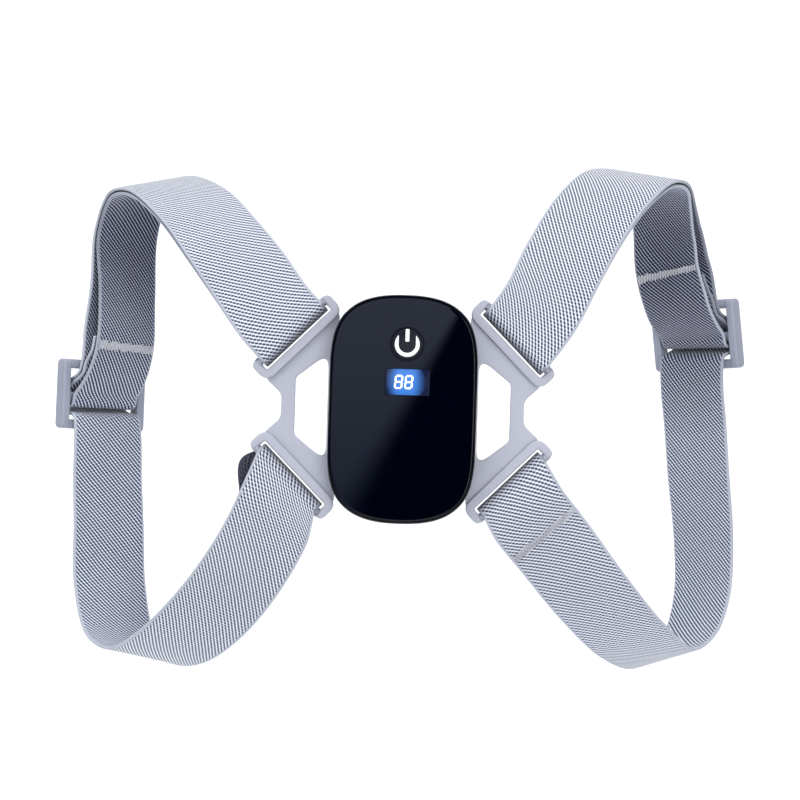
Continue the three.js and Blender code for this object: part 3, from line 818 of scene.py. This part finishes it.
def gloss_material(name, dark, light, rough):
    """Black gloss with a very faint cloud of colour and roughness."""
    n = Surface(name)
    cloud = n.noise(22, 2)
    fine = n.noise(900, 2)
    flat = n.ramp(n.math("ABSOLUTE", n.axes("Normal")[1]), 0.9, 0.995)
    return n.finished({
        "Base Color": n.mix(cloud, dark, light),
        "Roughness": n.plus(rough, n.times(fine, 0.02)),
        "Specular IOR Level": n.plus(0.07, n.times(flat, 0.3)),
        "Normal": n.bump(fine, 0.001, 0.00005),
    })


def symbol_material():
    n = Surface("symbol_silver")
    fine = n.noise(1500, 2)
    return n.finished({
        "Base Color": n.mix(fine, (0.75, 0.76, 0.8), (0.95, 0.95, 0.97)),
        "Roughness": n.plus(0.3, n.times(fine, 0.1)),
        # Painted glow: a faint emission that brightens the silver print
        "Emission Color": n.mix(fine, (0.8, 0.82, 0.9), (1, 1, 1)),
        "Emission Strength": 0.1,
    })


# The back light's middle, how far it is full, and where it ends, from side to side
GLOW_MIDDLE = 1.0
GLOW_FULL = 2.4
GLOW_END = 9.6


def screen_material():
    """Blue back light, brightest in the middle and dark towards both ends."""
    n = Surface("lit_screen")
    x, _, z = n.axes("Object")
    aside = n.math("ABSOLUTE", n.minus(x, GLOW_MIDDLE * MM))
    upward = n.math("DIVIDE", n.minus(z, DISPLAY_HEIGHT * MM), DISPLAY_TALL / 2 * MM)
    reach = n.ramp(aside, GLOW_FULL * MM, GLOW_END * MM)
    tall = n.times(n.math("POWER", n.math("ABSOLUTE", upward), 3.0), 0.25)
    dim = n.plus(reach, tall, clamp=True)
    cloud = n.times(n.minus(n.noise(700, 2), 0.5), 0.12)
    dim = n.plus(dim, cloud, clamp=True)
    glow = n.mix(dim, (0.055, 0.25, 0.8), (0.0, 0.004, 0.03))
    return n.finished({
        "Base Color": n.mix(dim, (0.01, 0.03, 0.1), (0.001, 0.002, 0.01)),
        "Roughness": 0.12,
        "Emission Color": glow,
        "Emission Strength": 0.95,
    })


def digit_material():
    n = Surface("lit_digit")
    fine = n.noise(900, 1)
    return n.finished({
        "Base Color": n.mix(fine, (0.8, 0.9, 1), (1, 1, 1)),
        "Emission Color": n.mix(fine, (0.78, 0.9, 1), (1, 1, 1)),
        "Emission Strength": 1.0,
        "Roughness": 0.4,
    })


webbing = webbing_material()
thread = thread_material()
grey = frame_material("moulded_grey", (0.39, 0.403, 0.478), (0.443, 0.457, 0.53), (0.06, 0.065, 0.1))
# The sliders' grey is the frame's plastic painted darker, as painted shade
slide_grey_painted_shade = frame_material(
    "moulded_slide_grey", (0.27, 0.29, 0.365), (0.33, 0.35, 0.43), (0.02, 0.022, 0.04)
)
black = gloss_material("gloss_black", (0.0001, 0.0007, 0.0032), (0.0002, 0.001, 0.0042), 0.01)
cap = gloss_material("gloss_cap", (0.004, 0.005, 0.009), (0.006, 0.007, 0.012), 0.14)
silver_painted_glow = symbol_material()
screen = screen_material()
lit = digit_material()

HARNESS = "harness"


# Housing: a fine loft of the same rings, with the button's pocket and the display's window
def housing_ring(inset, depth, count=288):
    """The unit's outline, drawn in by an inset, at one depth."""
    turns = np.arange(count) * 2 * math.pi / count
    cos, sin = np.cos(turns), np.sin(turns)
    x = (HOUSING_SIDE - inset) * np.sign(cos) * np.abs(cos) ** (2 / SIDE_POWER)
    z = (HOUSING_TOP - inset) * np.sign(sin) * np.abs(sin) ** (2 / END_POWER)
    return np.stack([x, np.full(count, depth), z], axis=1)


# The shell's section: inset, and share of its depth
HOUSING_ROWS = ((2, 0), (0.5, 0.12), (0, 0.3), (0, 0.7), (0.25, 0.86), (0.75, 0.95), (1.4, 0.99), (2.1, 1))
FACE_INSETS = (2.5, 3)
CREASE = 32

# Steps of the button's pocket and of the display's window: how much wider, and how deep
POCKET_STEPS = ((0.7, 0), (0.45, 0.25), (0.4, 0.8), (0.4, 3.4))
POCKET_POINTS = 120
WINDOW_STEPS = ((0.26, 0), (0.12, 0.15), (0.12, 1.5))
WINDOW_CORNER = 0.9


def face_ring(points, aside, height, deep):
    """A ring that lies deep mm behind the unit's face, from flat points about its middle."""
    depth = np.full(len(points), HOUSING_FRONT + deep)
    return np.stack([points[:, 0] + aside, depth, points[:, 1] + height], axis=1)


def pocket_rings():
    """Rings of the button's round pocket, from the face down to its floor."""
    turns = np.arange(POCKET_POINTS) * 2 * math.pi / POCKET_POINTS
    spots = np.stack([np.cos(turns), np.sin(turns)], axis=1)
    return [
        face_ring((BUTTON_RADIUS + wider) * spots, BUTTON_ASIDE, BUTTON_HEIGHT, deep)
        for wider, deep in POCKET_STEPS
    ]


def window_rings():
    """Rings of the display's window, from the face down to its floor."""
    rings = []
    for wider, deep in WINDOW_STEPS:
        flat = rectangle(DISPLAY_WIDTH / 2 + wider, DISPLAY_TALL / 2 + wider, WINDOW_CORNER, 5)
        rings.append(face_ring(flat, DISPLAY_ASIDE, DISPLAY_HEIGHT, deep))
    return rings


def housing_piece():
    rows = through([(inset, share, 0) for inset, share in HOUSING_ROWS], np.linspace(0, 1, 50))
    outer = [
        housing_ring(max(inset, 0), HOUSING_BACK - min(max(share, 0), 1) * HOUSING_DEPTH)
        for inset, share, _ in rows
    ]
    outer += [housing_ring(inset, HOUSING_FRONT) for inset in FACE_INSETS]
    shape = bmesh.new()

    def walls(rings):
        loops = [[shape.verts.new(tuple(point * MM)) for point in ring] for ring in rings]
        for a, b in zip(loops, loops[1:]):
            for i in range(len(a)):
                j = (i + 1) % len(a)
                shape.faces.new((a[i], a[j], b[j], b[i]))
        return loops

    shell_loops = walls(outer)
    shape.faces.new(shell_loops[0])
    rims = [shell_loops[-1]]
    for rings in (pocket_rings(), window_rings()):
        loops = walls(rings)
        shape.faces.new(loops[-1])
        rims.append(loops[0])
    edges = [shape.edges.get((rim[i - 1], rim[i])) for rim in rims for i in range(len(rim))]
    bmesh.ops.triangle_fill(shape, use_beauty=True, use_dissolve=False, edges=edges)
    bmesh.ops.recalc_face_normals(shape, faces=shape.faces)
    piece = shaped("housing_shell", shape, black)
    piece.data.set_sharp_from_angle(angle=math.radians(CREASE))
    even = piece.modifiers.new("even_shading", "WEIGHTED_NORMAL")
    even.keep_sharp = True
    return piece


shell = housing_piece()
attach(shell, HARNESS)
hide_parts("housing")


# Button: its section from the back round to its middle, as distance inside its edge and depth
BUTTON_PROFILE = (
    (0, BUTTON_THICKNESS),
    (0, 0.45),
    (0.05, 0.25),
    (0.2, 0.08),
    (0.45, 0),
    (0.9, 0.03),
    (2.2, 0.1),
    (4.5, 0.12),
    (6.6, 0.12),
)


def button_piece(count=96):
    verts = []
    for inset, deep in BUTTON_PROFILE:
        radius = BUTTON_RADIUS - inset
        for i in range(count):
            t = 2 * math.pi * i / count
            x, z = BUTTON_ASIDE + radius * math.cos(t), BUTTON_HEIGHT + radius * math.sin(t)
            verts.append((x, HOUSING_FRONT + deep, z))
    piece = made("button_cap", verts, ring_faces(len(BUTTON_PROFILE), count), cap)
    outward(piece.data)
    return piece


button = button_piece()
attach(button, "button")
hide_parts("power_button")

# The power symbol: its ring, its bar's width, foot and top, and its thickness
SYMBOL_RADIUS = 5.6
SYMBOL_LINE = 1.75
SYMBOL_BAR = (1.75, 1.2, 6.8)
SYMBOL_DEPTH = 0.3
SYMBOL_ROUND = 0.06
BUTTON_MIDDLE = np.array([BUTTON_ASIDE, BUTTON_HEIGHT])


def symbol_ring():
    """The symbol's open ring: a round outside, and a U inside that opens upwards."""
    inner = SYMBOL_RADIUS - SYMBOL_LINE
    start = math.asin(inner / SYMBOL_RADIUS)
    steps = 64

    def arc(radius, first, sweep):
        turns = [first + sweep * k / steps for k in range(steps + 1)]
        return [(radius * math.sin(t), radius * math.cos(t)) for t in turns]

    outline = arc(SYMBOL_RADIUS, start, 2 * math.pi - 2 * start) + arc(inner, -math.pi / 2, -math.pi)
    return np.array(outline) + BUTTON_MIDDLE


def symbol_bar():
    width, low, high = SYMBOL_BAR
    half = width / 2
    corners = [(-half, low, 0.3), (half, low, 0.3), (half, high, 0.3), (-half, high, 0.3)]
    return rounded_outline(corners, 4) + BUTTON_MIDDLE


symbol_back = HOUSING_FRONT + SYMBOL_DEPTH
for label, outline in (("symbol_ring", symbol_ring()), ("symbol_bar", symbol_bar())):
    mark = plate(label, [outline], HOUSING_FRONT, symbol_back, SYMBOL_ROUND, silver_painted_glow)
    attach(mark, "button")

# Display: a lit lens with two seven-part digits just proud of it
LENS_SUNK = 0.12
LENS_ROUND = 0.25
lens = rounded_box(
    "display_lens",
    (DISPLAY_WIDTH, DISPLAY_THICKNESS, DISPLAY_TALL),
    (DISPLAY_ASIDE, HOUSING_FRONT + DISPLAY_THICKNESS / 2 + LENS_SUNK, DISPLAY_HEIGHT),
    LENS_ROUND,
    screen,
)
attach(lens, HARNESS)
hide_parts("display_window")

DIGIT_WIDTH = 2.95
DIGIT_TALL = 5.5
DIGIT_LINE = 0.75
DIGIT_PITCH = 4.55
DIGIT_LEFT = 0.15
DIGIT_SLANT = 0.09
DIGIT_GAP = 0.25
DIGIT_SUNK = 0.02
DIGIT_DEPTH = 0.25
DIGIT_ROUND = 0.04


def segment(a, b):
    """A six-cornered bar from a to b, in the XZ plane."""
    a, b = np.array(a, float), np.array(b, float)
    way = unit(b - a)
    side = np.array([-way[1], way[0]])
    half = DIGIT_LINE / 2
    a, b = a + way * DIGIT_GAP, b - way * DIGIT_GAP
    tip, slant, out = way * half * 0.3, way * half * 0.5, side * half
    return np.array([a - tip, a + slant + out, b - slant + out, b + tip, b - slant - out, a + slant - out])


digit_front = HOUSING_FRONT + DIGIT_SUNK
digit_back = digit_front + DIGIT_DEPTH
parts = []
for k in (-0.5, 0.5):
    cx = DIGIT_LEFT + k * DIGIT_PITCH
    cz = DISPLAY_HEIGHT
    x0, x1 = cx - DIGIT_WIDTH / 2, cx + DIGIT_WIDTH / 2
    z0, z2 = cz - DIGIT_TALL / 2, cz + DIGIT_TALL / 2
    level = [((x0, z), (x1, z)) for z in (z0, cz, z2)]
    upright = [((x, low), (x, high)) for x in (x0, x1) for low, high in ((z0, cz), (cz, z2))]
    for a, b in level + upright:
        outline = segment(a, b)
        outline[:, 0] += (outline[:, 1] - cz) * DIGIT_SLANT
        parts.append(plate("segment", [outline], digit_front, digit_back, DIGIT_ROUND, lit))
digits = joined("display_digits", parts)
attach(digits, HARNESS)


# How wide a lug's rim looks, how far it stands over its slot, and how far forward the wings lie
RIM_LOOK = 3.4
RIM_IN = 0.8
WING_LOOK = -4.3

# Radii of the frame's edges, and how far a wing's corners stay inside its lugs' ears
PAD_ROUND = 0.9
WING_ROUND = 0.6
RIM_ROUND = 0.75
WING_INSET = 0.9


# Frame: pad, two wings with windows, and four lugs with raised rims and round bars
def mirrored(side, end):
    return Matrix.Diagonal((side, 1, end, 1))


def both_halves(upper):
    """An outline whose lower half mirrors the corners of its upper one."""
    lower = [(x, -z, radius) for x, z, radius in reversed(upper)]
    return rounded_outline(upper + lower)


def frame_piece():
    pieces = []
    pad = housing_ring(PAD_INSET, 0, 144)[:, [0, 2]]
    pieces.append(plate("pad", [pad], PAD_FRONT, 0, PAD_ROUND, grey))
    slope = math.radians(LUG_ANGLE)
    half = SLOT_LENGTH / 2 + LUG_EAR - WING_INSET
    mid = np.array([LUG_REACH - RIM_LOOK / 2 * math.sin(slope), LUG_RISE - RIM_LOOK / 2 * math.cos(slope)])
    way = np.array([math.cos(slope), -math.sin(slope)])
    inner, outer = mid - half * way, mid + half * way
    upper = [(WAIST_REACH, WAIST_HALF + 1.5, 6), (*outer, 1.6), (*inner, 1.6)]
    rim = both_halves(upper)
    window = both_halves(
        [(HOUSING_SIDE + PAD_INSET / 2, WINDOW_TOP, 3.5), (WINDOW_REACH, WINDOW_HALF, 3.5)]
    )
    for side in (-1, 1):
        flip = mirrored(side, 1)
        pieces.append(plate("wing", [rim, window], WING_LOOK, -WING_SETBACK, WING_ROUND, grey, flip))
        for end in (-1, 1):
            pieces += lug_pieces(side, end)
    return joined("moulded_frame", pieces)


def lug_pieces(side, end):
    """A lug's rim, which is open towards its bar, and the bar."""
    half = SLOT_LENGTH / 2 + LUG_EAR
    inside = SLOT_LENGTH / 2
    turn = Matrix.Translation((LUG_REACH * MM, 0, LUG_RISE * MM)) @ Matrix.Rotation(
        math.radians(LUG_ANGLE), 4, "Y"
    )
    place = mirrored(side, end) @ turn
    depth_top = BAR_OUT + LUG_BAR / 2 - 0.3
    ear = [
        (-half, -RIM_LOOK, LUG_EAR + 1.6),
        (half, -RIM_LOOK, LUG_EAR + 1.6),
        (half, depth_top, 3.1),
        (inside, depth_top, 0.7),
        (inside, RIM_IN, 0.9),
        (-inside, RIM_IN, 0.9),
        (-inside, depth_top, 0.7),
        (-half, depth_top, 3.1),
    ]
    rim = plate("rim", [rounded_outline(ear)], LUG_FRONT, -WING_SETBACK, RIM_ROUND, grey, place)
    ends = np.linspace(-inside - 1.5, inside + 1.5, 30)
    verts, faces = tube([(x, BAR_DEPTH, BAR_OUT) for x in ends], LUG_BAR / 2 - 0.02, 24)
    rod = made("rod", verts, faces, grey)
    rod.data.transform(place)
    outward(rod.data)
    return [rim, rod]


moulded = frame_piece()
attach(moulded, HARNESS)
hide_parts("back_frame")


# Radii of the sliders' edges: the rails' corners and edges, the outer bars, the middle bar
RAIL_CORNER = 3
RAIL_ROUND = 1.1
BAR_ROUND = 1.0
MIDDLE_ROUND = 1.6


# Sliders: two deep rounded rails joined by three bars
def slider_piece(name, loop):
    tall = 2 * SLIDER_PITCH + SLIDER_BAR_TALL
    slot = STRAP_WIDTH + 2 * SLIDER_CLEARANCE
    rail_x = slot / 2 + SLIDER_RAIL / 2
    spot = loop.slider
    across = Vector(spot["wide"] * -loop.side)
    out = Vector(spot["out"])
    down = Vector(-spot["along"])
    matrix = Matrix((across, out, down)).transposed().to_4x4()
    seat = matrix.copy()
    seat.translation = Vector(spot["place"]) * MM
    matrix.translation = Vector(spot["place"])
    pieces = []

    def bar(height, high, radius):
        size = (slot + SLIDER_RAIL, SLIDER_BAR_DEPTH, high)
        return rounded_box("bar", size, (0, 0, height), radius, slide_grey_painted_shade, matrix)

    flat = rectangle(SLIDER_RAIL_DEPTH / 2, tall / 2, RAIL_CORNER)
    half = SLIDER_RAIL / 2
    for end in (-1, 1):
        stand = seat @ Matrix.Translation((end * rail_x * MM, 0, 0)) @ Matrix.Rotation(math.pi / 2, 4, "Z")
        pieces.append(plate("rail", [flat], -half, half, RAIL_ROUND, slide_grey_painted_shade, stand))
        pieces.append(bar(end * SLIDER_PITCH, SLIDER_BAR_TALL, BAR_ROUND))
    pieces.append(bar(-SLIDER_DROP, SLIDER_MIDDLE_TALL, MIDDLE_ROUND))
    return joined(name, pieces)


# Each loop: its route, how far its sewn end peeks out, where and how slanted its lug's row of
# thread is, and where its slider's row is
LOOPS = (
    ("left", -1, LEFT_ROUTE, 6, 18.5, -2.2, 26),
    ("right", 1, RIGHT_ROUTE, 0, 26, -1.2, 34),
)
for label, side, route, peek, row_at, row_tilt, slide_at in LOOPS:
    loop = Loop(side, route)
    strap, strap_length = strap_piece(f"webbing_{label}", loop, webbing, peek)
    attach(strap, HARNESS)
    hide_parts(f"strap_{label}")
    slider = slider_piece(f"slide_{label}", loop)
    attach(slider, HARNESS)
    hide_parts(f"slider_{label}")
    centre = loop.slider["at"]
    fold = LAYER_SPREAD[-1][2] * LAYER_PITCH
    rows = {
        "lug_front": (loop.length - row_at, STRAP_THICKNESS / 2, 1, row_tilt),
        "lug_back": (loop.length - SEWN_TAB + STITCH_LENGTH, -TAB_PITCH - STRAP_THICKNESS / 2, -1, 0),
        "slide_front": (centre - slide_at, fold - STRAP_THICKNESS / 2, -1, 0),
        "slide_back": (centre - SEWN_TAB + STITCH_LENGTH, fold + TAB_PITCH + STRAP_THICKNESS / 2, 1, 0),
    }
    for key, (at, off, face, tilt) in rows.items():
        row = stitches(f"stitches_{key}_{label}", loop, at, off, face, tilt, thread)
        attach(row, HARNESS)

# Camera at the photograph's angle
CAMERA_AWAY = 1250
CAMERA_ASIDE = -1.12
CAMERA_HEIGHT = 4.25
CAMERA_ROLL = 1.8
PHOTO_SCALE = 0.447
DEVICE_PIXEL = (402.5, 409.5)
PICTURE = 800
SENSOR = 36


def camera():
    lens_px = CAMERA_AWAY / PHOTO_SCALE
    data = bpy.data.cameras.new("camera")
    data.sensor_fit = "HORIZONTAL"
    data.sensor_width = SENSOR
    data.lens = lens_px * SENSOR / PICTURE
    data.clip_end = 20
    seat = placed("camera", data)
    bpy.context.scene.camera = seat
    seat.location = (CAMERA_ASIDE * MM, (HOUSING_FRONT - CAMERA_AWAY) * MM, CAMERA_HEIGHT * MM)
    turn = math.radians(CAMERA_ROLL)
    base = Matrix.Rotation(math.pi / 2, 4, "X")
    seat.matrix_world = Matrix.Translation(seat.location) @ base @ Matrix.Rotation(turn, 4, "Z")
    # The roll turns about the picture's middle, and the shift brings the unit back to its place
    u0, v0 = DEVICE_PIXEL[0] - PICTURE / 2, PICTURE / 2 - DEVICE_PIXEL[1]
    cos, sin = math.cos(turn), math.sin(turn)
    data.shift_x = (cos * u0 + sin * v0 - u0) / PICTURE
    data.shift_y = (cos * v0 - sin * u0 - v0) / PICTURE


camera()


# Floor and backdrop, as pairs of way back and height, and how far they reach to each side
FLOOR_LINE = [(-9000, -420), (-3000, -420), (1200, -420)]
WALL_LINE = [(1400, -400), (1550, -330), (1630, -200), (1650, 0), (1650, 2400)]
BACKDROP_SIDE = 9000


def stage_material():
    n = Surface("studio_white")
    soft = n.noise(3, 2)
    return n.finished({
        "Base Color": n.mix(soft, (0.93, 0.935, 0.955), (0.95, 0.955, 0.97)),
        "Roughness": 0.9,
        "Specular IOR Level": 0.1,
    })


def cyclorama():
    """A floor that rises behind the part in one smooth curve."""
    line = through([(y, z, 0) for y, z in FLOOR_LINE + WALL_LINE], np.linspace(0, 1, 80))
    verts, faces = [], []
    for y, z, _ in line:
        verts += [(-BACKDROP_SIDE, y, z), (BACKDROP_SIDE, y, z)]
    for r in range(len(line) - 1):
        faces.append((2 * r, 2 * r + 1, 2 * r + 3, 2 * r + 2))
    piece = made("backdrop", verts, faces, stage_material())


cyclorama()


# Soft lamps: place and target in metres, size and power
def area(name, place, target, size, power):
    data = bpy.data.lights.new(name, "AREA")
    data.shape = "RECTANGLE"
    data.size, data.size_y = size
    data.energy = power
    lamp = placed(name, data)
    lamp.location = place
    lamp.rotation_euler = (Vector(target) - Vector(place)).to_track_quat("-Z", "Y").to_euler()
    return lamp


key = area("key", (-0.3, -0.75, 1.75), (0, 0, 0), (1.2, 1.2), 38)
key.visible_glossy = False
key.visible_camera = False
fill = area("fill", (0.5, -1.9, 0.1), (0, 0, 0), (0.8, 1.0), 13)
fill.visible_camera = False
area("back_left", (-1.3, 0.9, 0.6), (-0.3, 1.65, 0.2), (1.0, 1.6), 11)
area("back_right", (1.3, 0.9, 0.6), (0.3, 1.65, 0.2), (1.0, 1.6), 11)

# The card that the glossy face mirrors: pale at its upper left, black beyond a slanting edge
CARD_AWAY = -1620
CARD_HALF = 520
CARD_EDGE = ((53.6, 92), (-51.7, -103))


def card_material():
    n = Surface("mirror_card")
    n.tree.nodes.clear()
    x, _, z = n.axes("Object")
    (top_x, top_z), (low_x, low_z) = CARD_EDGE
    run_x, run_z = top_x - low_x, top_z - low_z
    reach = math.hypot(run_x, run_z)
    aside = n.minus(x, low_x * MM)
    upward = n.minus(z, low_z * MM)
    over = n.minus(n.times(aside, run_z / reach), n.times(upward, run_x / reach))
    soft = n.plus(0.022, n.times(upward, -0.09))
    pale = n.ramp(n.math("DIVIDE", over, n.math("MAXIMUM", soft, 0.004)), 1, -1)
    climb = n.ramp(z, -0.3, 0.2)
    glow = n.mix(climb, (0.2, 0.26, 0.46), (0.95, 1.07, 1.45))
    shine = n.new("Emission")
    n.fill(shine, {"Color": glow, "Strength": pale})
    n.fill(n.new("OutputMaterial"), {"Surface": shine.outputs[0]})
    return n.material


def mirror_card():
    corners = [(CARD_HALF * x, CARD_AWAY, CARD_HALF * z) for x, z in CORNERS]
    piece = made("mirror_card", corners, [(0, 1, 2, 3)], card_material())
    piece.visible_camera = False
    piece.visible_diffuse = False
    piece.visible_transmission = False
    piece.visible_shadow = False


mirror_card()

world = bpy.data.worlds.new("studio")
world.use_nodes = True
sky = world.node_tree.nodes["Background"].inputs
sky["Color"].default_value = (0.93, 0.94, 1, 1)
sky["Strength"].default_value = 0.27
bpy.context.scene.world = world
bpy.context.scene.view_settings.view_transform = "Standard"
